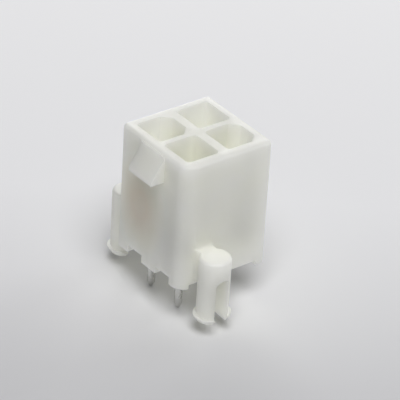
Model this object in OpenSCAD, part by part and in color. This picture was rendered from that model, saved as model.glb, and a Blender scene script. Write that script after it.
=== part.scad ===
// Vertical board header for a wire to board connector: two rows of two circuits.
// A moulded nylon housing with keyed sockets, a latch lug and two split board pegs
// holds four pressed-in metal terminals, whose tails pass through the board.
//
// X runs along a row, Y across the rows (the latch lug is on the -Y side) and Z up.
// Z = 0 is the face of the board, where the feet stand. The origin is under the
// middle of the housing. All lengths are in millimetres.

/* [Circuits] */
// Distance between neighbouring circuits along a row
pitch = 4.2; // [3.8:0.05:5]
// Distance between the two rows of tails in the board
tail_rows = 5.5; // [5:0.1:6]

/* [Shroud] */
// Height of the rim above the board
rim_height = 12.8; // [11.5:0.1:16]
// Height of the socket floor above the board
floor_height = 3.3; // [2.6:0.1:4]
// Thickness of the end walls, which carry the pegs
end_wall = 0.9; // [0.7:0.05:1.3]
// Thickness of the side walls, one of which carries the latch lug
side_wall = 0.85; // [0.7:0.05:1.3]
// Rib between the two sockets of a row
column_rib = 0.6; // [0.45:0.05:0.9]
// Rib between the two rows of sockets
row_rib = 0.9; // [0.6:0.05:1.2]
// Width of a socket across the rows
socket_depth = 3.5; // [3.2:0.05:4]
// Corner chamfer that keys a socket
key_chamfer = 0.85; // [0.5:0.05:1.2]
// Radius of the upright corners of a socket
socket_corner = 0.35; // [0.2:0.05:0.6]
// Radius of the upright outer corners
corner_radius = 0.4; // [0.4:0.05:1]
// Radius of the rounder outer corner, on the +X, -Y side
round_corner = 1.25; // [0.8:0.05:1.4]
// Rounding of the outer edge of the rim
rim_radius = 0.35; // [0.1:0.05:0.35]

/* [Standoff feet] */
// Reach of a corner foot under the end wall, from the side wall inwards
foot_reach = 1.05; // [0.8:0.05:1.6]
// Width of the wash-out channel over each column of tails
channel_width = 2.1; // [1.6:0.1:2.6]
// Height of the wash-out channels above the board
channel_height = 0.75; // [0.6:0.05:1.2]
// Height of the gap under the end walls, between their feet
end_gap = 0.45; // [0.2:0.05:0.55]
// Diameter of the room for solder round each tail
solder_room = 2.5; // [2.3:0.1:2.8]

/* [Latch lug] */
// Width of the lug along the wall
lug_width = 3.4; // [2.4:0.1:4.4]
// How far the lug stands out of the wall
lug_reach = 1.4; // [0.8:0.05:1.8]
// Distance from the rim down to the top of the lug
lug_drop = 0.25; // [0.2:0.05:0.8]
// How far the top of the lug stands out of the wall, above the ramp
lug_step = 0.15; // [0.1:0.05:0.4]
// Height of the upright face above the ramp
step_height = 0.3; // [0.1:0.05:0.6]
// Height of the ramp
ramp_height = 1.9; // [1.6:0.05:3]
// Height of the upright lip under the ramp
lip_height = 0.45; // [0.3:0.05:0.9]

/* [Board pegs] */
// Diameter of a peg
peg_diameter = 2.95; // [2.4:0.05:3.4]
// Gap between the end wall and the peg, bridged by the web
peg_gap = 0.36; // [0.3:0.02:0.8]
// Distance of the pegs from the middle line, towards the lug
peg_offset = 2.4; // [1.8:0.05:2.8]
// Height of the peg tops above the board
peg_top = 4.1; // [3.2:0.1:5]
// Reach of the peg tips below the face of the board
peg_reach = 2.4; // [2.2:0.05:3]
// Rounding of the top edge of a peg
peg_edge = 0.3; // [0.1:0.05:0.5]
// Width of the slot that splits a peg into two legs
slot_width = 1.45; // [1:0.05:1.6]
// Height of the top of the slot above the board
slot_height = 2.25; // [1.4:0.05:2.6]
// How far the snap ledge stands out of a leg
ledge_reach = 0.33; // [0.2:0.01:0.45]
// Depth of the snap ledges below the face of the board
board_grip = 1.8; // [1.6:0.05:1.85]
// Height of the straight land under a ledge
ledge_land = 0.12; // [0.05:0.01:0.15]
// Inward taper of a leg over its tip
tip_taper = 0.35; // [0.2:0.05:0.5]
// Width of the web between the end wall and a peg
web_width = 1.7; // [1.7:0.05:2.2]
// Height of the underside of the web above the board
web_height = 1; // [0.5:0.05:1.2]
// Depth to which the web closes the back of the slot
web_bite = 0.45; // [0.35:0.05:0.6]
// Fillet between the web and the end wall, at its top and on both sides
web_fillet = 0.4; // [0.2:0.05:0.5]

/* [Terminals] */
// Side of the square mating post
post_side = 1.07; // [0.8:0.01:1.2]
// Distance from the rim down to the tip of a post
post_recess = 2.6; // [2:0.1:3.5]
// Height of the tapered point of a post
post_point = 0.9; // [0.5:0.05:1.2]
// Side of the flat end of a post
post_end = 0.5; // [0.3:0.05:0.7]
// Reach of the collar beyond the post, on each side along the row
collar_reach = 0.4; // [0.25:0.05:0.6]
// Height of the collar on the socket floor
collar_height = 0.45; // [0.3:0.05:0.8]
// Diameter of the tail
tail_diameter = 0.76; // [0.6:0.02:0.9]
// Reach of the tail tips below the face of the board
tail_reach = 3.8; // [3:0.1:4.5]
// Height of the cone at the end of a tail
tail_cone = 0.5; // [0.3:0.05:0.8]
// Diameter of the flat end of a tail
tail_end = 0.3; // [0.2:0.02:0.4]
// Gap round the body of a terminal in the floor
body_gap = 0.04; // [0.02:0.01:0.08]
// Height of a holding rib on the body
rib_height = 0.5; // [0.3:0.05:0.7]
// How far the body stands out of the underside of the floor
body_proud = 0.1; // [0.05:0.05:0.3]

/* [Hidden] */

$fn = 64;
// Overlap by which a cut passes the face that it opens
over = 0.5;

housing_x = 2 * pitch - column_rib + 2 * end_wall;
housing_y = 2 * socket_depth + row_rib + 2 * side_wall;
socket_x = pitch - column_rib;
socket_row = (row_rib + socket_depth) / 2;
tail_row = tail_rows / 2;
lug_top = rim_height - lug_drop;
lug_ramp = lug_top - step_height;
lug_lip = lug_ramp - ramp_height;
lug_base = lug_lip - lip_height;
peg_radius = peg_diameter / 2;
peg_x = housing_x / 2 + peg_gap + peg_radius;
post_top = rim_height - post_recess;
// The body in the floor spans the post above it and the tail below it
body_inner = socket_row - post_side / 2;
body_outer = max(tail_row + tail_diameter / 2, socket_row + post_side / 2);
body_bottom = channel_height - body_proud;
floor_thickness = floor_height - channel_height;
rib_levels = [for (share = [1, 2]) channel_height + share * floor_thickness / 3];

// Centre of a circuit's column, and the side of its row
function column_x(column) = (column - 0.5) * pitch;
function row_side(row) = row == 0 ? -1 : 1;
function is_keyed(column, row) = (column + row) % 2 == 0;

// Rectangle with round corners, centred on the origin
module rounded_rectangle(x, y, r) {
    square([x - 2 * r, y], center = true);
    square([x, y - 2 * r], center = true);
    for (sx = [-1, 1], sy = [-1, 1])
        translate([sx * (x / 2 - r), sy * (y / 2 - r)])
            circle(r);
}

// Section of what a rounded edge takes off a square one, with the edge's arc about the origin
module edge_waste(r) {
    difference() {
        square(r + over);
        circle(r);
    }
}

// Outline of the shroud, with one corner rounder than the others
module shroud_outline() {
    difference() {
        rounded_rectangle(housing_x, housing_y, corner_radius);
        translate([housing_x / 2 - round_corner, round_corner - housing_y / 2])
            mirror([0, 1])
                edge_waste(round_corner);
    }
}

// Waste along a straight edge of the rim, at one distance in X and from low to high in Y
module rim_side(distance, low, high) {
    translate([distance - rim_radius, high, 0])
        rotate([90, 0, 0])
            linear_extrude(high - low)
                edge_waste(rim_radius);
}

// Waste round an upright corner of radius r, with the corner's axis at the origin
module rim_corner(r) {
    rotate_extrude(angle = 90)
        translate([r - rim_radius, 0])
            edge_waste(rim_radius);
}

// What the rounding takes off the outer edge of the rim
module rim_waste() {
    x = housing_x / 2;
    y = housing_y / 2;
    translate([0, 0, rim_height - rim_radius]) {
        rim_side(x, round_corner - y, y - corner_radius);
        rotate([0, 0, 90])
            rim_side(y, corner_radius - x, x - corner_radius);
        rotate([0, 0, 180])
            rim_side(x, corner_radius - y, y - corner_radius);
        rotate([0, 0, 270])
            rim_side(y, corner_radius - x, x - round_corner);
        for (sx = [-1, 1], sy = [-1, 1]) {
            r = sx > 0 && sy < 0 ? round_corner : corner_radius;
            translate([sx * (x - r), sy * (y - r), 0])
                mirror([sx < 0 ? 1 : 0, 0, 0])
                    mirror([0, sy < 0 ? 1 : 0, 0])
                        rim_corner(r);
        }
    }
}

// Mouth of a socket, with both corners on the far side cut off where it is keyed
module socket_mouth(keyed) {
    difference() {
        rounded_rectangle(socket_x, socket_depth, socket_corner);
        if (keyed)
            for (side = [-1, 1])
                translate([side * socket_x / 2, socket_depth / 2])
                    rotate(45)
                        square(sqrt(2) * key_chamfer, center = true);
    }
}

module socket(column, row) {
    translate([column_x(column), row_side(row) * socket_row, floor_height])
        linear_extrude(rim_height - floor_height + over)
            socket_mouth(is_keyed(column, row));
}

// Slot in the floor for the body of a terminal
module floor_slot(column, row) {
    length = body_outer - body_inner + 2 * body_gap;
    width = post_side + 2 * body_gap;
    translate([column_x(column), row_side(row) * (body_inner + body_outer) / 2, 0])
        linear_extrude(floor_height + over)
            square([width, length], center = true);
}

// Room under the housing: a wash-out channel over each column of tails, wider round each
// tail, and a shallow gap under each end wall. A land across the middle and four corner feet
// are left to stand on.
module underside() {
    channel_outer = (pitch + channel_width) / 2;
    for (column = [0, 1]) {
        translate([column_x(column) - channel_width / 2, -housing_y / 2 - over, -over])
            cube([channel_width, housing_y + 2 * over, channel_height + over]);
        for (row = [0, 1])
            translate([column_x(column), row_side(row) * tail_row, -over])
                cylinder(h = channel_height + over, d = solder_room);
    }
    for (sx = [0, 1])
        mirror([sx, 0, 0])
            translate([channel_outer - over, foot_reach - housing_y / 2, -over])
                cube([housing_x / 2 - channel_outer + 2 * over, housing_y - 2 * foot_reach, end_gap + over]);
}

// Lug on the -Y wall that the latch of the mating connector snaps under
module latch_lug() {
    wall = housing_y / 2;
    root = wall - side_wall / 2;
    translate([-lug_width / 2, 0, 0])
        rotate([90, 0, 90])
            linear_extrude(lug_width)
                polygon([
                    [-root, lug_top],
                    [-wall - lug_step, lug_top],
                    [-wall - lug_step, lug_ramp],
                    [-wall - lug_reach, lug_lip],
                    [-wall - lug_reach, lug_base],
                    [-root, lug_base],
                ]);
}

// Solid of revolution of a peg above its snap ledges, with a rounded top edge
module peg_barrel() {
    rotate_extrude()
        union() {
            translate([0, -board_grip])
                square([peg_radius, peg_top + board_grip - peg_edge]);
            translate([0, -board_grip])
                square([peg_radius - peg_edge, peg_top + board_grip]);
            translate([peg_radius - peg_edge, peg_top - peg_edge])
                intersection() {
                    circle(peg_edge);
                    square(peg_edge);
                }
        }
}

// Snap ledge and tapered tip of one leg, pushed out from the peg's axis
module peg_tip(side) {
    translate([0, side * ledge_reach, 0]) {
        translate([0, 0, -board_grip - ledge_land])
            cylinder(h = ledge_land, r = peg_radius);
        translate([0, 0, -peg_reach])
            cylinder(h = peg_reach - board_grip - ledge_land, r1 = peg_radius - tip_taper, r2 = peg_radius);
    }
}

// Section of a fillet between the end wall and a face of the web, with the line where
// those meet at the origin; it reaches into both
module fillet_section() {
    difference() {
        translate([-end_wall / 2, -web_fillet])
            square([web_fillet + end_wall / 2, 2 * web_fillet]);
        translate([web_fillet, web_fillet])
            circle(web_fillet);
    }
}

// Web that joins a peg to the end wall, with fillets at its top and on both sides
module peg_web() {
    reach = peg_gap + peg_radius;
    depth = peg_gap + web_bite;
    translate([-reach - end_wall / 2, -web_width / 2, web_height])
        cube([depth + end_wall / 2, web_width, peg_top - web_height]);
    translate([-reach, web_width / 2, peg_top])
        rotate([90, 0, 0])
            linear_extrude(web_width)
                fillet_section();
    for (side = [0, 1])
        mirror([0, side, 0])
            translate([-reach, web_width / 2, web_height])
                linear_extrude(peg_top - web_height)
                    fillet_section();
}

// Slot that splits a peg into a leg on each side along Y
module peg_slot() {
    arch = slot_height - slot_width / 2;
    translate([-peg_radius - over, 0, 0])
        rotate([90, 0, 90])
            linear_extrude(2 * (peg_radius + over))
                union() {
                    translate([-slot_width / 2, -peg_reach - over])
                        square([slot_width, peg_reach + over + arch]);
                    translate([0, arch])
                        circle(slot_width / 2);
                }
}

// Split peg on the +X end wall, whose web closes the back of the slot
module board_peg() {
    translate([peg_x, -peg_offset, 0]) {
        difference() {
            union() {
                peg_barrel();
                peg_tip(-1);
                peg_tip(1);
            }
            peg_slot();
        }
        peg_web();
    }
}

module housing() {
    color("ghostwhite") {
        difference() {
            linear_extrude(rim_height)
                shroud_outline();
            rim_waste();
            underside();
            for (column = [0, 1], row = [0, 1]) {
                socket(column, row);
                floor_slot(column, row);
            }
        }
        latch_lug();
        board_peg();
        mirror([1, 0, 0])
            board_peg();
    }
}

// Outline of a post across one of its faces, from the socket floor to its tapered point
module post_outline() {
    polygon([
        [-post_side / 2, floor_height],
        [post_side / 2, floor_height],
        [post_side / 2, post_top - post_point],
        [post_end / 2, post_top],
        [-post_end / 2, post_top],
        [-post_side / 2, post_top - post_point],
    ]);
}

// Square mating post, tapered on all four sides at its point
module post() {
    intersection() {
        rotate([90, 0, 0])
            translate([0, 0, -post_side / 2])
                linear_extrude(post_side)
                    post_outline();
        rotate([90, 0, 90])
            translate([0, 0, -post_side / 2])
                linear_extrude(post_side)
                    post_outline();
    }
}

// Body in the floor slot, with holding ribs that bear on the ends of the slot
module terminal_body() {
    translate([-post_side / 2, body_inner, body_bottom])
        cube([post_side, body_outer - body_inner, floor_height - body_bottom]);
    for (level = rib_levels)
        translate([-post_side / 4, body_inner - body_gap, level - rib_height / 2])
            cube([post_side / 2, body_outer - body_inner + 2 * body_gap, rib_height]);
}

// Round tail, pointed for the hole in the board
module tail() {
    translate([0, tail_row, -tail_reach]) {
        cylinder(h = tail_cone, d1 = tail_end, d2 = tail_diameter);
        translate([0, 0, tail_cone])
            cylinder(h = tail_reach - tail_cone + body_bottom, d = tail_diameter);
    }
}

// Terminal of one circuit; the same piece serves both rows, turned half round
module terminal(column, row) {
    color("silver")
        translate([column_x(column), 0, 0])
            rotate([0, 0, row == 0 ? 180 : 0]) {
                translate([0, socket_row, 0])
                    post();
                translate([-post_side / 2 - collar_reach, body_inner, floor_height])
                    cube([post_side + 2 * collar_reach, post_side, collar_height]);
                terminal_body();
                tail();
            }
}

housing();
terminal(0, 0);  // terminal_1
terminal(1, 0);  // terminal_2
terminal(0, 1);  // terminal_3
terminal(1, 1);  // terminal_4
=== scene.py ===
import math

import bpy
from mathutils import Euler, Matrix, Vector


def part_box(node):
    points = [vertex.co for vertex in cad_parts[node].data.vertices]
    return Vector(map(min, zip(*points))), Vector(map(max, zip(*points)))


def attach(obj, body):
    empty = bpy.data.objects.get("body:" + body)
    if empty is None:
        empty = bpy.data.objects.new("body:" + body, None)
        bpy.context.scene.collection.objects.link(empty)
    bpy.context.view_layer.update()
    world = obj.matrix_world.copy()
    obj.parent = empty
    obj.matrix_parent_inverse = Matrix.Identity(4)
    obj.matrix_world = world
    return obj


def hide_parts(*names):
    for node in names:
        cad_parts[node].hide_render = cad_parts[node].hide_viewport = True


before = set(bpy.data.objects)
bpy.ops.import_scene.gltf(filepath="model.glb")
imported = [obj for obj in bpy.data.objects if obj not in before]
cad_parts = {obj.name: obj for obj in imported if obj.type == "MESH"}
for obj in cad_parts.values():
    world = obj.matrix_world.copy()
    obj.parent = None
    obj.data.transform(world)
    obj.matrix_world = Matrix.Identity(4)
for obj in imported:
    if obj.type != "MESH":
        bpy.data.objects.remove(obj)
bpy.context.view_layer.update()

# ---------------------------------------------------------------------------
# Camera: a long lens on the corner between the lug wall and an end wall,
# above the header and not quite level.
# ---------------------------------------------------------------------------

camera_azimuth = math.radians(51.3)
camera_elevation = math.radians(31.87)
camera_roll = math.radians(3.62)
camera_distance = 0.24824
camera_aim = Vector((0, 0, 0.005))
aim_right, aim_up = 0.00062, 0.00054
lens_length, film_width = 247.3, 36

bpy.ops.object.select_all(action="DESELECT")
bpy.ops.object.camera_add()
camera = bpy.context.object
camera.name = "camera"
camera.data.lens = lens_length
camera.data.sensor_width = film_width
level_view = Euler((math.pi / 2 - camera_elevation, 0, camera_azimuth)).to_matrix()
view = level_view @ Matrix.Rotation(camera_roll, 3, "Z")
camera.rotation_euler = view.to_euler()
camera.location = camera_aim + view @ Vector((aim_right, aim_up, camera_distance))
bpy.context.scene.camera = camera

# ---------------------------------------------------------------------------
# Studio: a sheet of pale grey paper under the header. Its colour is painted
# lighter away from the camera, as a painted fall-off of light. A large soft
# box hangs high in front of the header, and two low ones stand behind it and
# to its side.
# ---------------------------------------------------------------------------

floor_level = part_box("terminal_1")[0].z
paper_radius = 1.2
painted_falloff_start, painted_falloff_length = 0.02, 0.08
# Painted light: the paper's colour runs from dark near the camera to light behind the
# header, standing in for the fall-off of the lamps' light.
painted_falloff_tones = [
    (0.0, (0.62, 0.62, 0.637, 1)),
    (0.45, (0.87, 0.87, 0.89, 1)),
    (1.0, (0.985, 0.985, 1, 1)),
]
room_colour, room_strength = (0.80, 0.80, 0.82, 1), 0.02
soft_box_reach, soft_box_width = 0.9, 0.55


def tone_ramp(nodes, tones):
    ramp = nodes.new("ShaderNodeValToRGB")
    stops = ramp.color_ramp.elements
    stops[0].position, stops[0].color = tones[0]
    stops[1].position, stops[1].color = tones[-1]
    for position, colour in tones[1:-1]:
        stops.new(position).color = colour
    return ramp


# Painted light: the base colour is graded along the camera's direction, darker near the
# camera and lighter away from it.
def paper_with_painted_falloff():
    material = bpy.data.materials.new("paper_with_painted_falloff")
    material.use_nodes = True
    nodes, links = material.node_tree.nodes, material.node_tree.links
    shader = nodes["Principled BSDF"]
    shader.inputs["Roughness"].default_value = 0.9
    shader.inputs["Specular IOR Level"].default_value = 0.1
    place = nodes.new("ShaderNodeTexCoord")
    turn = nodes.new("ShaderNodeMapping")
    turn.vector_type = "TEXTURE"
    turn.inputs["Rotation"].default_value = (0, 0, camera_azimuth + math.pi / 2)
    turn.inputs["Location"].default_value = (
        math.sin(camera_azimuth) * painted_falloff_start,
        -math.cos(camera_azimuth) * painted_falloff_start,
        0,
    )
    turn.inputs["Scale"].default_value = (painted_falloff_length, painted_falloff_length, painted_falloff_length)
    along = nodes.new("ShaderNodeSeparateXYZ")
    shade = tone_ramp(nodes, painted_falloff_tones)
    links.new(place.outputs["Object"], turn.inputs["Vector"])
    links.new(turn.outputs["Vector"], along.inputs["Vector"])
    links.new(along.outputs["X"], shade.inputs["Fac"])
    links.new(shade.outputs["Color"], shader.inputs["Base Color"])
    return material


def soft_box(name, direction, watts):
    towards = Vector(direction)
    bpy.ops.object.light_add(type="AREA", location=towards.normalized() * soft_box_reach)
    box = bpy.context.object
    box.name = name
    box.data.shape = "DISK"
    box.data.size = soft_box_width
    box.data.energy = watts
    box.rotation_euler = towards.to_track_quat("Z", "Y").to_euler()


bpy.context.scene.view_settings.view_transform = "Standard"
bpy.ops.mesh.primitive_circle_add(
    vertices=96, radius=paper_radius, fill_type="NGON", location=(0, 0, floor_level)
)
paper = bpy.context.object
paper.name = "paper_floor"
bpy.ops.object.transform_apply(location=True, rotation=True, scale=True)
paper.data.materials.append(paper_with_painted_falloff())

world = bpy.data.worlds.new("studio_room")
bpy.context.scene.world = world
world.use_nodes = True
room = world.node_tree.nodes["Background"]
room.inputs["Color"].default_value = room_colour
room.inputs["Strength"].default_value = room_strength

soft_box("key_box", (0.41, -0.24, 0.88), 6.7)
soft_box("side_box", (0, 0.966, 0.26), 1.9)
soft_box("back_box", (-0.84, 0.48, 0.28), 2.8)

# ---------------------------------------------------------------------------
# Housing: one moulding of natural nylon, with four open sockets, a latch lug,
# feet and two split pegs. The mould leaves every edge slightly round and the
# faces satin. Light passes into the thin walls. The wall under the lug carries
# painted shade: a warm, darker patch in the nylon's colour over one post.
# ---------------------------------------------------------------------------

moulded_edge = 0.00009
light_path = 0.003
nylon_tones = [(0.3, (0.985, 0.99, 0.82, 1)), (0.7, (0.998, 1, 0.86, 1))]
nylon_satin = (0.36, 0.50)
# Painted shade: a warm, darker tint mixed into the nylon's colour in a round patch on the
# wall under the lug.
painted_shade_tint = (0.985, 0.79, 0.64, 1)
painted_shade_strength = 1.4
painted_shade_reach = (0.004, 0.002, 0.005)
painted_shade_aside, painted_shade_below_tip = 0.0004, 0.0044
merge_distance = 1e-6
flat_angle, sharp_angle = math.radians(2), math.radians(35)


def rounded_copy(node_name, piece_name, edge_width, edge_steps):
    bpy.ops.object.select_all(action="DESELECT")
    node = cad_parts[node_name]
    bpy.context.view_layer.objects.active = node
    node.select_set(True)
    bpy.ops.object.duplicate()
    piece = bpy.context.object
    piece.name = piece_name
    piece.parent = None
    for key in list(piece.keys()):
        del piece[key]
    piece.data.materials.clear()
    bpy.ops.object.mode_set(mode="EDIT")
    bpy.ops.mesh.select_all(action="SELECT")
    bpy.ops.mesh.remove_doubles(threshold=merge_distance)
    bpy.ops.mesh.dissolve_limited(angle_limit=flat_angle)
    bpy.ops.object.mode_set(mode="OBJECT")
    edges = piece.modifiers.new("rounded_edges", "BEVEL")
    edges.width = edge_width
    edges.segments = edge_steps
    edges.limit_method = "ANGLE"
    edges.angle_limit = sharp_angle
    bpy.ops.object.modifier_apply(modifier="rounded_edges")
    bpy.ops.object.shade_smooth_by_angle(angle=sharp_angle)
    return piece


# Painted shade: mixes a warm, darker tint into the nylon colour in a round patch on the lug
# wall, centred below the tip of terminal_1's post.
def painted_lug_shade(nodes, links, place, tint):
    post_low, post_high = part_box("terminal_1")
    wall_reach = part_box("housing")[1].y
    spread = nodes.new("ShaderNodeMapping")
    spread.vector_type = "TEXTURE"
    spread.inputs["Location"].default_value = (
        (post_low.x + post_high.x) / 2 + painted_shade_aside,
        -wall_reach,
        post_high.z - painted_shade_below_tip,
    )
    spread.inputs["Scale"].default_value = painted_shade_reach
    fade = nodes.new("ShaderNodeTexGradient")
    fade.gradient_type = "SPHERICAL"
    strength = nodes.new("ShaderNodeMath")
    strength.operation = "MULTIPLY"
    strength.use_clamp = True
    strength.inputs[1].default_value = painted_shade_strength
    # A Mix node in colour mode takes its two colours at 6 and 7 and gives the result at 2.
    plain_input, painted_shade_input, mixed_output = 6, 7, 2
    blend = nodes.new("ShaderNodeMix")
    blend.data_type = "RGBA"
    blend.inputs[painted_shade_input].default_value = painted_shade_tint
    links.new(place.outputs["Object"], spread.inputs["Vector"])
    links.new(spread.outputs["Vector"], fade.inputs["Vector"])
    links.new(fade.outputs["Fac"], strength.inputs[0])
    links.new(strength.outputs["Value"], blend.inputs["Factor"])
    links.new(tint.outputs["Color"], blend.inputs[plain_input])
    return blend.outputs[mixed_output]


def natural_nylon():
    material = bpy.data.materials.new("natural_nylon")
    material.use_nodes = True
    nodes, links = material.node_tree.nodes, material.node_tree.links
    resin = nodes["Principled BSDF"]
    resin.inputs["IOR"].default_value = 1.53
    resin.inputs["Subsurface Weight"].default_value = 0.9
    resin.inputs["Subsurface Radius"].default_value = (1.0, 1.0, 1.0)
    resin.inputs["Subsurface Scale"].default_value = light_path
    place = nodes.new("ShaderNodeTexCoord")
    cloud = nodes.new("ShaderNodeTexNoise")
    cloud.inputs["Scale"].default_value = 260
    cloud.inputs["Detail"].default_value = 2
    tint = tone_ramp(nodes, nylon_tones)
    satin = nodes.new("ShaderNodeMapRange")
    satin.inputs["To Min"].default_value, satin.inputs["To Max"].default_value = nylon_satin
    grain = nodes.new("ShaderNodeTexNoise")
    grain.inputs["Scale"].default_value = 6000
    relief = nodes.new("ShaderNodeBump")
    relief.inputs["Strength"].default_value = 0.15
    relief.inputs["Distance"].default_value = 0.00001
    links.new(place.outputs["Object"], cloud.inputs["Vector"])
    links.new(cloud.outputs["Fac"], tint.inputs["Fac"])
    # The base colour carries the painted shade patch under the lug.
    links.new(painted_lug_shade(nodes, links, place, tint), resin.inputs["Base Color"])
    links.new(cloud.outputs["Fac"], satin.inputs["Value"])
    links.new(satin.outputs["Result"], resin.inputs["Roughness"])
    links.new(place.outputs["Object"], grain.inputs["Vector"])
    links.new(grain.outputs["Fac"], relief.inputs["Height"])
    links.new(relief.outputs["Normal"], resin.inputs["Normal"])
    return material


housing = rounded_copy("housing", "nylon_housing", moulded_edge, 3)
housing.data.materials.append(natural_nylon())
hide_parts("housing")
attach(housing, "root")

# ---------------------------------------------------------------------------
# Terminals: four alike, of tin plated brass, pressed into the floor of the
# housing. The post stands in the socket and the round tail goes to the board.
# The stamping and the plating leave the edges slightly round.
# ---------------------------------------------------------------------------

stamped_edge = 0.00003
tin_tones = [(0.3, (0.68, 0.68, 0.665, 1)), (0.7, (0.78, 0.78, 0.765, 1))]
tin_polish = (0.2, 0.34)


def tin_plate():
    material = bpy.data.materials.new("tin_plate")
    material.use_nodes = True
    nodes, links = material.node_tree.nodes, material.node_tree.links
    plate = nodes["Principled BSDF"]
    plate.inputs["Metallic"].default_value = 1.0
    place = nodes.new("ShaderNodeTexCoord")
    bloom = nodes.new("ShaderNodeTexNoise")
    bloom.inputs["Scale"].default_value = 1500
    bloom.inputs["Detail"].default_value = 3
    tone = tone_ramp(nodes, tin_tones)
    polish = nodes.new("ShaderNodeMapRange")
    polish.inputs["To Min"].default_value, polish.inputs["To Max"].default_value = tin_polish
    links.new(place.outputs["Object"], bloom.inputs["Vector"])
    links.new(bloom.outputs["Fac"], tone.inputs["Fac"])
    links.new(tone.outputs["Color"], plate.inputs["Base Color"])
    links.new(bloom.outputs["Fac"], polish.inputs["Value"])
    links.new(polish.outputs["Result"], plate.inputs["Roughness"])
    return material


tin = tin_plate()
for number in (1, 2, 3, 4):
    node_name = f"terminal_{number}"
    terminal = rounded_copy(node_name, f"tinned_terminal_{number}", stamped_edge, 2)
    terminal.data.materials.append(tin)
    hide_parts(node_name)
    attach(terminal, "root")
